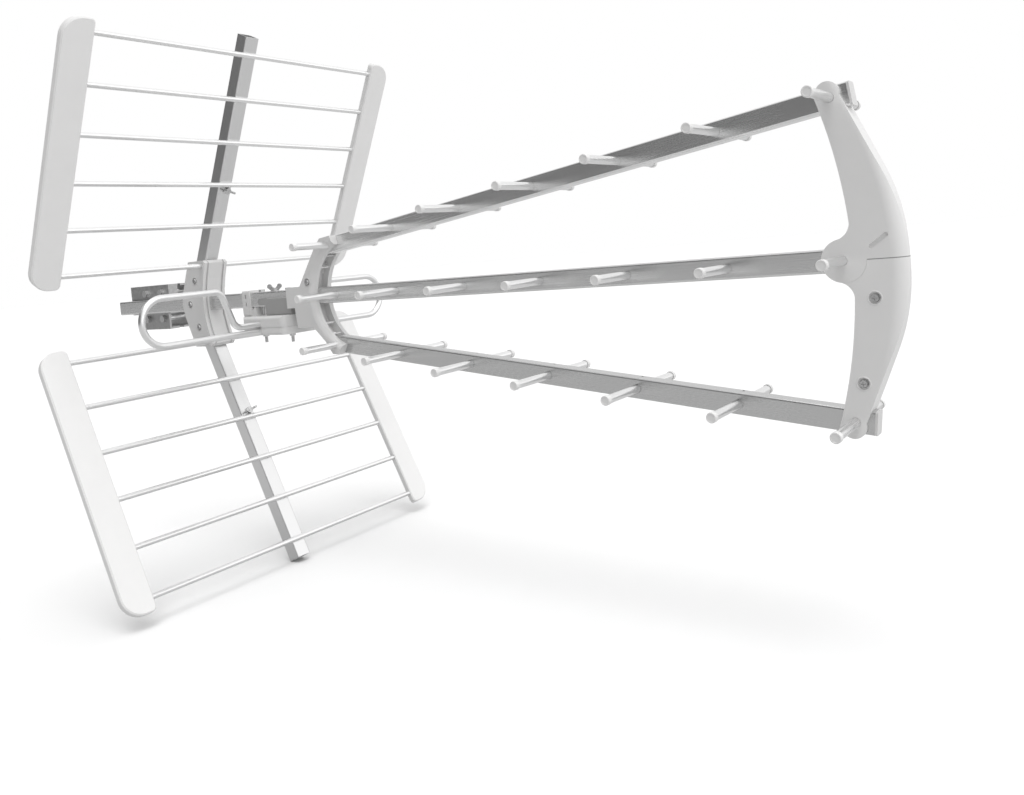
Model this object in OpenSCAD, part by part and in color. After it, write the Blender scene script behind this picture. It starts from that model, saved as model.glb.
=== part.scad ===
// Outdoor television antenna with three booms, a folding-screen reflector,
// a folded dipole, a front yoke and a clamp for a round mast.
// The origin is on the mast's axis, level with the middle boom.
// +X points forward along the boom, +Y to the mast's side, +Z up.

/* [Mast clamp] */
// Diameter of the mast that the clamp grips
mast_d = 32; // [30:1:36]
// Thickness of the pressed clamp plates
clamp_plate = 3; // [2.5:0.5:4]
// Height of the clamp above the boom's axis
clamp_up = 31; // [30:1:36]
// Height of the clamp below the boom's axis
clamp_down = 35; // [34:1:40]
// Length of the clamp plate behind the mast
clamp_tail = 61; // [50:1:66]
// Length of the clamp plate ahead of the mast
clamp_nose = 38; // [36:1:44]
// Diameter of the clamp bolts
clamp_bolt_d = 6; // [5:0.5:6]
// Length of the clamp bolts under the head
clamp_bolt_len = 58; // [56:1:66]

/* [Booms] */
// Width of each boom tube
boom_w = 15; // [14:0.5:18]
// Height of each boom tube
boom_h = 20; // [18:0.5:22]
// Wall of the boom tubes
boom_wall = 1.5; // [1.2:0.1:2]
// Length of the middle boom behind the mast
boom_tail = 70; // [66:1:110]
// Height of the outer booms at the first directors
boom_rise = 60.6; // [58:0.2:66]
// Angle between an outer boom and the middle boom
boom_slope = 6.8; // [6:0.1:7.5]
// Length of the outer booms past the last directors
boom_lead = 14; // [13:1:20]

/* [Directors] */
// Distance from the mast to the first directors
director_x = 410; // [405:1:440]
// Distance between two directors
director_pitch = 100; // [90:1:115]
// Length of each director over its end caps
director_len = 137; // [110:1:180]
// Diameter of the director tubes
director_d = 8; // [7:0.5:9]
// Wall of the director tubes
director_wall = 1; // [0.8:0.1:1.5]
// Wall of the director end caps
cap_wall = 0.6; // [0.6:0.1:1.2]
// Length of the director end caps
cap_len = 5; // [4:0.5:12]

/* [Reflector] */
// Distance from the mast to the innermost reflector rods
reflector_x = 160; // [155:1:180]
// Height of the innermost rods above the boom's axis
rod_z = 52; // [50:0.5:56]
// Distance between two rods along a panel
rod_pitch = 58.4; // [50:0.2:66]
// Diameter of the reflector rods
rod_d = 6.6; // [6:0.2:7.4]
// Forward lean of each panel
lean = 25.7; // [22:0.1:28]
// Distance between the inner edges of the two end strips
panel_w = 423; // [360:1:500]
// Width of the end strips
strip_w = 36; // [32:1:44]
// Thickness of the end strips
strip_t = 10; // [9:0.5:13]
// Length of the end strips past the last rods
strip_over = 16; // [14:1:22]
// Radius of the strips' outer corners
strip_corner = 24; // [12:1:28]
// Width and depth of the spine tubes
spine_w = 20; // [18:0.5:22]
// Wall of the spine tubes
spine_wall = 1.8; // [1.6:0.1:2.4]
// Length of the spines past the outermost rods
spine_over = 23; // [10:1:30]

/* [Dipole] */
// Distance from the mast to the dipole
dipole_x = 288; // [284:1:292]
// Half of the dipole's width
dipole_half = 194; // [150:1:220]
// Diameter of the dipole tube
dipole_d = 8; // [7:0.5:9]
// Length of the sloping part between the dipole's box and its upper run
slope_len = 50; // [46:1:54]
// Length of the dipole box behind the dipole
box_tail = 56; // [54:1:60]
// Length of the dipole box ahead of the dipole
box_nose = 46; // [44:1:50]
// Width of the dipole box
box_w = 60; // [54:1:66]
// Height of the lower half of the box
box_h = 24; // [23.5:0.5:28]

/* [Front yoke] */
// Width of the yoke
yoke_w = 24; // [22:0.5:28]
// Reach of the yoke ahead of the last directors
yoke_reach = 49; // [46:1:56]
// Radius of the yoke's rounded front
yoke_r = 185; // [175:1:190]
// Radius of the round hub on the middle boom
hub_r = 18; // [17:0.5:20]

/* [Arc bracket] */
// Width of the arc bracket
arc_w = 36; // [32:1:40]
// Depth of the bow between the bracket's arms
arc_depth = 43; // [40:1:47]
// Depth of the channel along the bow
arc_channel = 10; // [9.5:0.5:12]
// Width of the channel along the bow
arc_channel_w = 15; // [14:0.5:18]

/* [Hidden] */
$fn = 48;

// Running gap between a tube or rod and the hole or pocket that holds it
fit = 0.1;
// Number of directors on each boom, and of rods on each panel
directors = 7;
rods = 6;
// Distance that a cutting shape runs past the surface it opens
cut = 1;
// Shortest straight length that is drawn between two bends
tiny = 0.01;

// Clamp, measured from the mast's axis
mast_r = mast_d / 2;
seat_gap = 1.5;
plate_y = mast_r + seat_gap;
boom_y = plate_y + clamp_plate + boom_w / 2;
jaw_lip = mast_r * 0.3;
bolt_x = mast_r + clamp_bolt_d / 2 + 1;
bolt_z = 19.5;
bolt_head_d = clamp_bolt_d * 1.9;
bolt_head_h = 4;
tail_step = 35;
nose_step = 5;

// Booms
last_x = director_x + (directors - 1) * director_pitch;
boom_corner = 2;
boom_pocket_w = boom_w + 2 * fit;
boom_pocket_h = boom_h + 2 * fit;
boom_start = 12;
crimp_d = 3.4;
crimp_depth = 0.6;
plug_lip = 2;
plug_len = 8;

// Reflector, in a panel's own frame: X forward from the rods, Z outward along the panel
panel_len = (rods - 1) * rod_pitch;
rod_sink = 0.8;
spine_x = -rod_d / 2 + rod_sink - spine_w / 2;
spine_in = 38;
socket_len = 22;
strip_chamfer = 1.5;
strip_wall = 2.4;
bracket_w = 36;
bracket_top = rod_z + 7;
bracket_heel = [[-51, 0], [-47, 18], [-29, bracket_top]];
bracket_front = [[5, bracket_top], [9, rod_z + 3], [2, 34], [-2, 18], [-3, 0]];
groove_w = 3.2;
groove_deep = 2.5;
groove_in = 2.4;

// Dipole box, with its height measured from the boom's underside
box_top = -boom_h / 2 - 11;
box_wall = 2.5;
box_edge = 4;
box_shoulder = 25;
strap_len = 15;
strap_wall = 2.8;
strap_w = boom_w + 2 * strap_wall;
foot_len = 26;
foot_w = 18;
housing_w = 24;
housing_tail = 7;
housing_nose = 42.5;
housing_cheek = 1.5;
hook_len = 15;
hook_r = 4.5;
seam = 0.7;
lower_run = box_top - box_h + dipole_d / 2 + 1.3;
upper_tail = lower_run + dipole_d + 0.9;
slope_up = 117 / 125;
slope_out = 44 / 125;
dipole_top = upper_tail + slope_len * slope_up;
loop_r = (dipole_top - lower_run) / 2;
slope_bend = 13;
dipole_wall = 1;
board_t = 1.6;
board_w = 36;
board_z = box_top - box_h / 2 + 4;
plug_z = board_z - 7;
box_bolt_d = 4;
box_bolt_x = 26.5;

// Self-tapping screws
screw_d = 4;
screw_head_d = 7.6;
screw_head_h = 2.6;
screw_len = 16;
screw_sink = 1.2;

// Wing screws
wing_d = 5;
wing_len = 18;
wing_span = 20;
wing_h = 9;
wing_t = 2.4;
wing_hub_d = 9;

// Coaxial connector
plug_d = 9.4;
plug_reach = 9;
plug_nut = 3;
plug_x = -14;

// Arc bracket
arc_r = arc_radius(boom_rise, arc_depth);
arc_cx = director_x + 12 - arc_depth + arc_r;
arc_nose = 8;
arc_ease = 0.3;
arc_gap = 0.3;
arc_tail = dipole_x + housing_nose + arc_gap - director_x;

// Places of the screws in X and Z, all driven along Y
bracket_screws = [[reflector_x - 18, 32], [reflector_x - 33, 0], [reflector_x - 18, -32]];
arc_screws = [[director_x - 38, boom_h / 2 + 8]];
yoke_screws = [[last_x + 23, -31], [last_x + 9, -100]];
plate_screws = [[-48, 0], [bolt_x + 7, 0]];

// Yoke
yoke_wall_back = 11.5;
yoke_wall_front = 8.5;
yoke_back_reach = 8.5;
yoke_top = 8.5;
yoke_blank = 60;
fillet_r = 14;
fillet_ease = 0.15;
blend_r = 300;
slot_w = 3.6;
slot_deep = 1.6;
yoke_end_z = boom_z(last_x);
yoke_cx = last_x + yoke_reach - yoke_r;
yoke_back_r = arc_radius(yoke_end_z, yoke_back_reach + yoke_wall_back);

function boom_z(x) = boom_rise + tan(boom_slope) * (x - director_x);
function arc_radius(half, rise) = (half * half + rise * rise) / (2 * rise);
function unit(v) = v / norm(v);
function turn_angle(a, b, c) = let(u = unit(b - a), w = unit(c - b)) atan2(u[0] * w[1] - u[1] * w[0], u * w);
function lead_in(p, r, i) =
    i <= 0 || i >= len(p) - 1 ? 0 : r[i] * tan(abs(turn_angle(p[i - 1], p[i], p[i + 1])) / 2);

module on_boom() {
    translate([0, -boom_y, 0]) children();
}

// Extrudes a drawing of X and Z across Y, centred
module across(w) {
    translate([0, w / 2, 0]) rotate([90, 0, 0]) linear_extrude(w) children();
}

// A round bar along Y, centred
module bar(d, w) {
    translate([0, w / 2, 0]) rotate([90, 0, 0]) cylinder(d = d, h = w);
}

module rounded(w, h, r) {
    square([w - 2 * r, h], center = true);
    square([w, h - 2 * r], center = true);
    for (x = [-1, 1], y = [-1, 1]) translate([x * (w / 2 - r), y * (h / 2 - r)]) circle(r);
}

// Extrudes a drawing of Y and Z along X
module along(l) {
    rotate([90, 0, 90]) linear_extrude(l) children();
}

module hex_prism(d, h) {
    cylinder(d = d, h = h, $fn = 6);
}

// A flat wedge that holds a turn about the origin, from the X axis
module sector(r, turn) {
    half = abs(turn) / 2;
    corner = [2 * r, 2 * r * tan(half)];
    stop = [2 * r * cos(turn), 2 * r * abs(sin(turn))];
    mirror([0, turn > 0 ? 0 : 1]) polygon([[0, 0], [2 * r, 0], corner, stop]);
}

// A round bar along a flat route of points p with a bend of radius r at each
module bent_bar(p, r, d) {
    for (i = [0 : len(p) - 2]) {
        way = unit(p[i + 1] - p[i]);
        start = p[i] + way * lead_in(p, r, i);
        stop = p[i + 1] - way * lead_in(p, r, i + 1);
        if (norm(stop - start) > tiny)
            translate([start[0], start[1], 0]) rotate([0, 90, atan2(way[1], way[0])])
                cylinder(d = d, h = norm(stop - start));
    }
    for (i = [1 : len(p) - 2]) {
        way = unit(p[i] - p[i - 1]);
        turn = turn_angle(p[i - 1], p[i], p[i + 1]);
        side = turn > 0 ? 1 : -1;
        start = p[i] - way * lead_in(p, r, i);
        centre = start + side * r[i] * [-way[1], way[0]];
        first = atan2(way[1], way[0]) - side * 90;
        translate([centre[0], centre[1], 0]) rotate([0, 0, first]) intersection() {
            rotate_extrude() translate([r[i], 0]) circle(d = d);
            translate([0, 0, -d]) linear_extrude(2 * d) sector(r[i] + d, turn);
        }
    }
}

// Booms

// Moves to the axis of a boom at its first director; s is 1 above, 0 middle, -1 below
module boom_axis(s) {
    translate([director_x, 0, s * boom_rise]) rotate([0, -s * boom_slope, 0]) children();
}

function along_boom(s, x) = (x - director_x) / cos(s * boom_slope);

module boom_tube(s, from_x, to_x) {
    face = s < 0 ? 1 : -1;
    difference() {
        boom_axis(s) translate([along_boom(s, from_x), 0, 0])
            along(along_boom(s, to_x) - along_boom(s, from_x)) difference() {
                rounded(boom_w, boom_h, boom_corner);
                rounded(boom_w - 2 * boom_wall, boom_h - 2 * boom_wall, boom_corner / 2);
            }
        for (i = [0 : directors - 1]) boom_axis(s)
            translate([along_boom(s, director_x + i * director_pitch), 0, 0]) {
                bar(director_d + 2 * fit, boom_w + 2 * cut);
                translate([0, 0, face * (boom_h / 2 + crimp_d / 2 - crimp_depth)])
                    bar(crimp_d, boom_w * 0.6);
            }
    }
}

module middle_boom() {
    color("silver") on_boom() difference() {
        boom_tube(0, -boom_tail, last_x + hub_r);
        screw_holes();
        box_bolt_holes();
    }
}

module upper_boom() {
    color("silver") on_boom() boom_tube(1, director_x - boom_start, last_x + boom_lead);
}

module lower_boom() {
    color("silver") on_boom() boom_tube(-1, director_x - boom_start, last_x + boom_lead);
}

module boom_end_plugs() {
    color("whitesmoke") on_boom() for (s = [-1, 1])
        boom_axis(s) translate([along_boom(s, last_x + boom_lead), 0, 0]) {
            along(plug_lip) rounded(boom_w, boom_h, boom_corner);
            translate([-plug_len, 0, 0]) along(plug_len)
                rounded(boom_w - 2 * boom_wall - 2 * fit, boom_h - 2 * boom_wall - 2 * fit, boom_corner / 2);
        }
}

// Directors

module director(s, i) {
    x = director_x + (i - 1) * director_pitch;
    tube_len = director_len - 2 * cap_wall;
    color("gainsboro") on_boom() translate([x, 0, s * boom_z(x)]) difference() {
        bar(director_d, tube_len);
        bar(director_d - 2 * director_wall, tube_len + 2 * cut);
    }
}

// One end cap at the origin, closed towards +Z, with its mouth at -Z
module director_cap() {
    cap_r = director_d / 2 + cap_wall;
    rotate_extrude() difference() {
        union() {
            translate([0, -cap_wall]) square([cap_r - cap_wall, cap_wall]);
            translate([0, -cap_len]) square([cap_r, cap_len - cap_wall]);
            intersection() {
                translate([cap_r - cap_wall, -cap_wall]) circle(cap_wall);
                translate([0, -cap_wall]) square([cap_r + cut, cap_wall]);
            }
        }
        translate([-cut, -cap_len - cut])
            square([director_d / 2 + fit + cut, cap_len + cut - cap_wall]);
    }
}

module director_caps() {
    color("white") on_boom() for (s = [-1 : 1], i = [0 : directors - 1], end = [-1, 1]) {
        x = director_x + i * director_pitch;
        translate([x, end * director_len / 2, s * boom_z(x)]) rotate([-90 * end, 0, 0]) director_cap();
    }
}

// Reflector

// Moves to the frame of a panel at its innermost rod; s is 1 for the upper panel
module panel(s) {
    on_boom() mirror([0, 0, s > 0 ? 0 : 1])
        translate([reflector_x, 0, rod_z]) rotate([0, lean, 0]) children();
}

module rod(s, i) {
    color("gainsboro") panel(s) translate([0, 0, (i - 1) * rod_pitch])
        bar(rod_d, panel_w + 2 * (socket_len - 1));
}

module spine(s) {
    color("silver") difference() {
        panel(s) difference() {
            translate([spine_x, 0, -spine_in])
                linear_extrude(spine_in + panel_len + spine_over) difference() {
                    rounded(spine_w, spine_w, boom_corner);
                    rounded(spine_w - 2 * spine_wall, spine_w - 2 * spine_wall, boom_corner / 2);
                }
            for (i = [0 : rods - 1]) translate([0, 0, i * rod_pitch])
                bar(rod_d + 2 * fit, spine_w + 2 * cut);
            wing_screw_place() translate([0, 0, -spine_w]) cylinder(d = wing_d + 2 * fit, h = 2 * spine_w);
        }
        on_boom() screw_holes();
    }
}

// A strip's outline: Y outward from its inner edge, Z along the panel
module strip_outline(inset) {
    w = strip_w - 2 * inset;
    l = panel_len + 2 * strip_over - 2 * inset;
    r = strip_corner - inset;
    small = 6 - inset;
    translate([inset, -l / 2]) {
        translate([0, small]) square([w - r, l - 2 * small]);
        translate([small, 0]) square([w - r - small, l]);
        translate([0, r]) square([w, l - 2 * r]);
        for (z = [small, l - small]) translate([small, z]) circle(small);
        for (z = [r, l - r]) translate([w - r, z]) intersection() {
            circle(r);
            translate([0, -r]) square(2 * r);
        }
    }
}

module strip(s, side) {
    color("white") panel(s) mirror([0, side > 0 ? 0 : 1, 0])
        translate([0, panel_w / 2, panel_len / 2]) difference() {
            hull() {
                translate([-strip_t / 2 + strip_chamfer, 0, 0])
                    along(strip_t - 2 * strip_chamfer) strip_outline(0);
                translate([-strip_t / 2, 0, 0]) along(strip_t) strip_outline(strip_chamfer);
            }
            for (i = [0 : rods - 1])
                translate([0, socket_len / 2 - cut, (i - (rods - 1) / 2) * rod_pitch])
                    bar(rod_d + 2 * fit, socket_len + cut);
            for (i = [0 : rods - 2], half = [-1, 1])
                translate([0, 0, (i - (rods - 2) / 2) * rod_pitch]) strip_pocket(half);
        }
}

// One of the two open pockets between two rods, in the back of a strip
module strip_pocket(half) {
    near = strip_wall / 2;
    far = rod_pitch / 2 - rod_d / 2 - strip_wall;
    translate([-strip_t / 2 - cut, strip_wall, half > 0 ? near : -far])
        cube([strip_t - strip_wall + cut, strip_w - 2 * strip_wall, far - near]);
}

// Wing screws, on both spines and on top of the dipole box

// One wing screw, with its head standing on Z = 0
module wing_screw() {
    translate([0, 0, -wing_len]) cylinder(d = wing_d, h = wing_len + 1);
    wing_head();
}

// The winged head, standing on Z = 0
module wing_head() {
    cylinder(d = wing_hub_d, h = 4);
    for (side = [0, 180]) rotate([0, 0, side]) translate([0, wing_t / 2, 0]) rotate([90, 0, 0])
        linear_extrude(wing_t) difference() {
            union() {
                polygon([[1, 0], [wing_hub_d / 2, 0], [wing_span / 2 - 1, wing_h - 5],
                    [wing_span / 2 - 5, wing_h - 2], [1, 3.6]]);
                translate([wing_span / 2 - 3, wing_h - 3]) circle(3);
            }
            translate([-wing_span, -wing_h]) square([wing_span, 3 * wing_h]);
        }
}

module wing_screw_place() {
    translate([spine_x + spine_w / 2, 3, 2 * rod_pitch - rod_d / 2 - wing_hub_d / 2 - 1])
        rotate([0, 90, 0]) rotate([0, 0, 80]) children();
}

module wing_screws() {
    color("darkgray") {
        for (s = [-1, 1]) panel(s) wing_screw_place() wing_screw();
        on_boom() translate([dipole_x, 0, boom_h / 2]) rotate([0, 0, 25]) wing_screw();
    }
}

// Reflector bracket

// Side outline of the bracket above the boom, in X and Z
module bracket_half() {
    translate([reflector_x, 0]) polygon(concat(bracket_heel, bracket_front));
}

// Side outline of the groove along the front of the bracket, above the boom
module groove_half() {
    last = len(bracket_front) - 1;
    up = [0, cut];
    translate([reflector_x, 0]) polygon(concat(
        [for (i = [0 : last]) bracket_front[i] + [cut, 0] + (i == 0 ? up : [0, 0])],
        [for (i = [last : -1 : 0]) bracket_front[i] - [groove_deep, 0] + (i == 0 ? up : [0, 0])]));
}

module reflector_bracket() {
    color("whitesmoke") difference() {
        on_boom() union() {
            across(bracket_w) bracket_half();
            mirror([0, 0, 1]) across(bracket_w) bracket_half();
        }
        for (s = [-1, 1]) panel(s) {
            translate([spine_x, 0, -spine_in]) linear_extrude(spine_in + panel_len)
                rounded(spine_w + 2 * fit, spine_w + 2 * fit, boom_corner);
            bar(rod_d + 2 * fit, bracket_w + 2 * cut);
        }
        on_boom() for (half = [0, 1], side = [-1, 1]) mirror([0, 0, half])
            translate([0, side * (spine_w / 2 + groove_in), 0]) across(groove_w) groove_half();
        on_boom() {
            along(2 * reflector_x) rounded(boom_pocket_w, boom_pocket_h, boom_corner);
            screw_holes();
        }
    }
}

// Screws, driven along +Y from the near side, and into the boom from the mast's side
module screw_row(places, w) {
    for (p = places) translate([p[0], -w / 2 + screw_sink, p[1]]) rotate([-90, 0, 0]) children();
}

module screw_places() {
    screw_row(bracket_screws, bracket_w) children();
    screw_row(arc_screws, arc_w) children();
    screw_row(yoke_screws, yoke_w) children();
    for (p = plate_screws) translate([p[0], boom_w / 2 + clamp_plate, p[1]]) rotate([90, 0, 0]) children();
}

module screw_holes() {
    screw_places() {
        translate([0, 0, -cut]) cylinder(d = screw_d + 2 * fit, h = screw_len + 2 * cut);
        translate([0, 0, -2 * screw_sink - cut]) cylinder(d = screw_head_d + 2, h = 2 * screw_sink + cut);
    }
}

module self_tapping_screw() {
    difference() {
        union() {
            cylinder(d = screw_d, h = screw_len);
            translate([0, 0, -screw_head_h])
                cylinder(d1 = screw_head_d - 2, d2 = screw_head_d, h = screw_head_h);
        }
        for (turn = [0, 90]) rotate([0, 0, turn]) translate([-2, -0.5, -screw_head_h - cut])
            cube([4, 1, 1.4 + cut]);
    }
}

module moulding_screws() {
    color("gray") on_boom() screw_places() self_tapping_screw();
}

// Arc bracket

module arc_outline() {
    top = boom_rise + boom_h / 2;
    difference() {
        translate([director_x, 0]) polygon([[arc_tail, -13], [arc_tail, 13], [-53, 13],
            [-21, boom_rise - 4], [-9, top - 1.2], [9, top + 1], [12, boom_rise], [0, 0],
            [12, -boom_rise], [6, -top - 1], [-4, -top - 0.4], [-14, 4 - boom_rise],
            [-34, -38], [arc_tail + 17, -38], [arc_tail + 14, -13]]);
        translate([arc_cx, 0]) circle(arc_r);
    }
}

module arc_bracket() {
    color("lightgray") on_boom() difference() {
        across(arc_w) arc_outline();
        // Channel along the bow, with ribs across it
        translate([arc_cx, 0, 0]) difference() {
            bar(2 * (arc_r + arc_channel), arc_channel_w);
            for (tilt = [-46, -31, 31, 46]) rotate([0, tilt, 0])
                translate([-arc_r - 2 * arc_channel, 0, 0])
                    cube([4 * arc_channel - 4, arc_channel_w + 2, 2], center = true);
        }
        // Rounded outer edges of the bow
        for (side = [0, 1]) mirror([0, side, 0])
            translate([arc_cx, -arc_w / 2, 0]) rotate([-90, 0, 0])
                rotate_extrude() difference() {
                    translate([0, -cut]) square([arc_r + arc_nose, arc_nose + cut]);
                    translate([arc_r + arc_nose, arc_nose]) circle(arc_nose + arc_ease);
                }
        for (s = [-1, 1]) boom_axis(s) translate([-boom_start - fit, 0, 0]) along(60)
            translate([0, s * boom_h / 2]) square([boom_pocket_w, boom_h + boom_pocket_h], center = true);
        along(director_x) rounded(boom_pocket_w, boom_pocket_h, boom_corner);
        for (s = [-1, 1]) translate([director_x, 0, s * boom_z(director_x)])
            bar(director_d + 2 * fit, arc_w + 2);
        screw_holes();
    }
}

// Front yoke

// Side outline of one half of the yoke, above the boom
module yoke_outline() {
    end = [last_x + yoke_wall_front, yoke_end_z];
    span = norm([end[0] - yoke_cx, end[1]]);
    tangent = atan2(end[1], end[0] - yoke_cx) - acos(yoke_r / span);
    touch = [yoke_cx + yoke_r * cos(tangent), yoke_r * sin(tangent)];
    tip = end + unit(end - touch) * (yoke_top + 4);
    difference() {
        union() {
            intersection() {
                translate([yoke_cx, 0]) circle(yoke_r, $fn = 96);
                translate([yoke_cx, 0]) square([yoke_r + 1, touch[1]]);
            }
            polygon([[last_x - yoke_blank, 0], [yoke_cx + yoke_r / 2, 0], touch, tip,
                [last_x - yoke_blank, tip[1]]]);
        }
        difference() {
            translate([last_x + yoke_back_reach - yoke_back_r, 0]) circle(yoke_back_r, $fn = 96);
            yoke_fillet();
        }
        translate([last_x - 2 * yoke_blank, yoke_end_z + yoke_top]) square(4 * yoke_blank);
    }
    translate([last_x - 1.5, yoke_end_z + 4]) circle(9.5);
}

// Fills the corner between the hub and the arm's rear face with a round of radius fillet_r
module yoke_fillet() {
    hub_in = yoke_back_r - yoke_back_reach + 1;
    centre_in = yoke_back_r - fillet_r;
    apart = hub_r + fillet_r;
    rise = acos((hub_in * hub_in + centre_in * centre_in - apart * apart) / (2 * hub_in * centre_in));
    way = [cos(rise), sin(rise)];
    skin = yoke_back_r + yoke_wall_front / 2;
    translate([last_x + yoke_back_reach - yoke_back_r, 0]) difference() {
        polygon([[hub_in, 0], centre_in * way, skin * way, [skin, 0]]);
        translate(centre_in * way) circle(fillet_r + fillet_ease);
    }
}

// Rounds the yoke's front, fully at the middle and less towards its ends
module yoke_front() {
    translate([last_x + yoke_reach - blend_r, 0, 0]) rotate([-90, 0, 0]) rotate_extrude($fn = 128) {
        translate([0, -yoke_w / 2]) square([blend_r - yoke_w / 2, yoke_w]);
        intersection() {
            translate([blend_r - yoke_w / 2, 0]) circle(yoke_w / 2);
            translate([0, -yoke_w]) square([2 * blend_r, 2 * yoke_w]);
        }
    }
}

module hub(d) {
    translate([last_x + 1, 0, 0]) bar(d, yoke_w);
}

module yoke_cuts() {
    translate([director_x, 0, 0]) along(last_x + hub_r - director_x + fit)
        rounded(boom_pocket_w, boom_pocket_h, boom_corner);
    for (s = [-1, 1]) boom_axis(s) translate([along_boom(s, last_x) - yoke_blank, 0, 0])
        along(2 * yoke_blank) rounded(boom_pocket_w, boom_pocket_h, boom_corner);
    for (s = [-1 : 1]) translate([last_x, 0, s * yoke_end_z]) bar(director_d + 2 * fit, yoke_w + 2 * cut);
    screw_holes();
}

module yoke_upper_arm() {
    color("white") on_boom() difference() {
        union() {
            intersection() {
                across(yoke_w) yoke_outline();
                yoke_front();
            }
            hub(2 * hub_r);
        }
        yoke_cuts();
        for (side = [-1, 1]) translate([last_x + 29, side * (yoke_w / 2 - slot_deep + cut), 14.5])
            rotate([0, -36, 0]) across(2 * cut) rounded(18, slot_w, slot_w / 2 - 0.1);
    }
}

module yoke_lower_arm() {
    color("white") on_boom() difference() {
        mirror([0, 0, 1]) intersection() {
            across(yoke_w) yoke_outline();
            yoke_front();
        }
        translate([last_x + 1, 0, 0]) bar(2 * hub_r + 2 * fit, yoke_w + 2 * cut);
        yoke_cuts();
    }
}

// Dipole

// Route of one half of the dipole, in Y and Z, from the box outward and back.
// The sloping part climbs 117 for each 44 outward, so that its bends end on exact places.
dipole_out = dipole_half - dipole_d / 2;
dipole_in = box_w / 2 - 8;
slope_y = box_w / 2 + 36;
slope_run = slope_len * slope_out;
dipole_route = [[dipole_in, upper_tail], [slope_y, upper_tail], [slope_y + slope_run, dipole_top],
    [dipole_out, dipole_top], [dipole_out, lower_run], [dipole_in, lower_run]];
dipole_bends = [0, slope_bend, slope_bend, loop_r, loop_r, 0];

module half_dipole(side) {
    color("silver") on_boom() translate([dipole_x, 0, 0]) mirror([0, side > 0 ? 0 : 1, 0])
        rotate([90, 0, 90]) difference() {
            bent_bar(dipole_route, dipole_bends, dipole_d);
            bent_bar(dipole_route, dipole_bends, dipole_d - 2 * dipole_wall);
        }
}

module dipole_holes() {
    for (z = [upper_tail, lower_run]) translate([dipole_x, 0, z]) bar(dipole_d + 2 * fit, box_w + 2 * cut);
}

module box_bolt_holes() {
    for (side = [-1, 1]) translate([dipole_x + side * box_bolt_x, 0, box_top - 2 * box_h])
        cylinder(d = box_bolt_d + 2 * fit, h = 2 * box_h - box_top + boom_h);
    translate([dipole_x, 0, -boom_h]) cylinder(d = wing_d + 2 * fit, h = 2 * boom_h);
}

module dipole_housing() {
    color("darkgray") on_boom() difference() {
        translate([dipole_x, 0, 0]) {
            translate([-housing_tail, 0, 0]) along(housing_tail + housing_nose)
                translate([0, (box_top + housing_cheek) / 2])
                    rounded(housing_w, housing_cheek - box_top, 2);
            // Hooks that grip the boom's sides behind the housing
            across(housing_w) {
                translate([-housing_tail - hook_len + hook_r, -hook_r + housing_cheek]) circle(hook_r);
                translate([-housing_tail - hook_len + hook_r, -2 * hook_r + housing_cheek])
                    square([hook_len, 2 * hook_r]);
            }
        }
        along(2 * dipole_x) rounded(boom_pocket_w, boom_pocket_h, boom_corner);
        along(2 * dipole_x) translate([-boom_pocket_w / 2, 0]) square([boom_pocket_w, boom_h]);
        box_bolt_holes();
    }
}

// Plan of the dipole box, drawn in from its surface, with the dipole at its origin
module box_plan(inset) {
    half = box_w / 2 - inset;
    nose = box_nose - inset;
    r = 2 * box_edge - inset;
    polygon([[-box_tail + inset, -strap_w / 2 + inset], [box_shoulder - box_tail + inset, -half],
        [nose - r, -half], [nose, r - half], [nose, half - r], [nose - r, half],
        [box_shoulder - box_tail + inset, half], [-box_tail + inset, strap_w / 2 - inset]]);
    for (side = [-1, 1]) translate([nose - r, side * (half - r)]) circle(r);
}

// The dipole box as a solid block, drawn in from its surface
module box_block(inset) {
    intersection() {
        translate([-box_tail, 0, box_top - box_h / 2]) along(box_tail + box_nose)
            rounded(box_w - 2 * inset, box_h - 2 * inset, box_edge - inset);
        translate([0, 0, box_top - box_h]) linear_extrude(box_h) box_plan(inset);
    }
}

module dipole_cover() {
    foot_h = -boom_h / 2 - box_top;
    color("lightgray") on_boom() difference() {
        union() {
            translate([dipole_x, 0, 0]) difference() {
                box_block(0);
                box_block(box_wall);
                translate([box_wall - housing_tail, 0, box_top])
                    along(housing_tail + housing_nose - 2 * box_wall)
                        square([housing_w - 3 * box_wall, 3 * box_wall], center = true);
                // Seam between the upper and lower shells
                translate([0, 0, (upper_tail + lower_run - seam) / 2]) linear_extrude(seam)
                    difference() {
                        square(4 * box_w, center = true);
                        box_plan(seam);
                    }
            }
            translate([dipole_x - box_tail, 0, box_top / 2]) along(strap_len)
                translate([0, (strap_wall + boom_h / 2) / 2])
                    rounded(strap_w, boom_h / 2 + strap_wall - box_top, 3);
            translate([dipole_x - box_tail + strap_len - cut, -foot_w / 2, box_top - cut])
                cube([foot_len - strap_len + cut, foot_w, foot_h + cut]);
            for (side = [-1, 1]) translate([dipole_x + side * box_bolt_x, 0, box_top - box_h + cut])
                cylinder(d = 9, h = board_z - box_top + box_h - cut);
        }
        along(2 * dipole_x) rounded(boom_pocket_w, boom_pocket_h, boom_corner);
        for (z = [5, -5]) translate([dipole_x - box_tail + strap_len / 2, 0, z]) across(2 * box_w)
            square([2.4, 5], center = true);
        translate([dipole_x - box_tail + strap_len + 4, 0, -boom_h / 2]) across(2 * box_w)
            square([4, 5], center = true);
        translate([dipole_x + plug_x, 0, plug_z]) rotate([-90, 0, 0])
            cylinder(d = plug_d + 2 * fit, h = box_w);
        dipole_holes();
        box_bolt_holes();
    }
}

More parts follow.
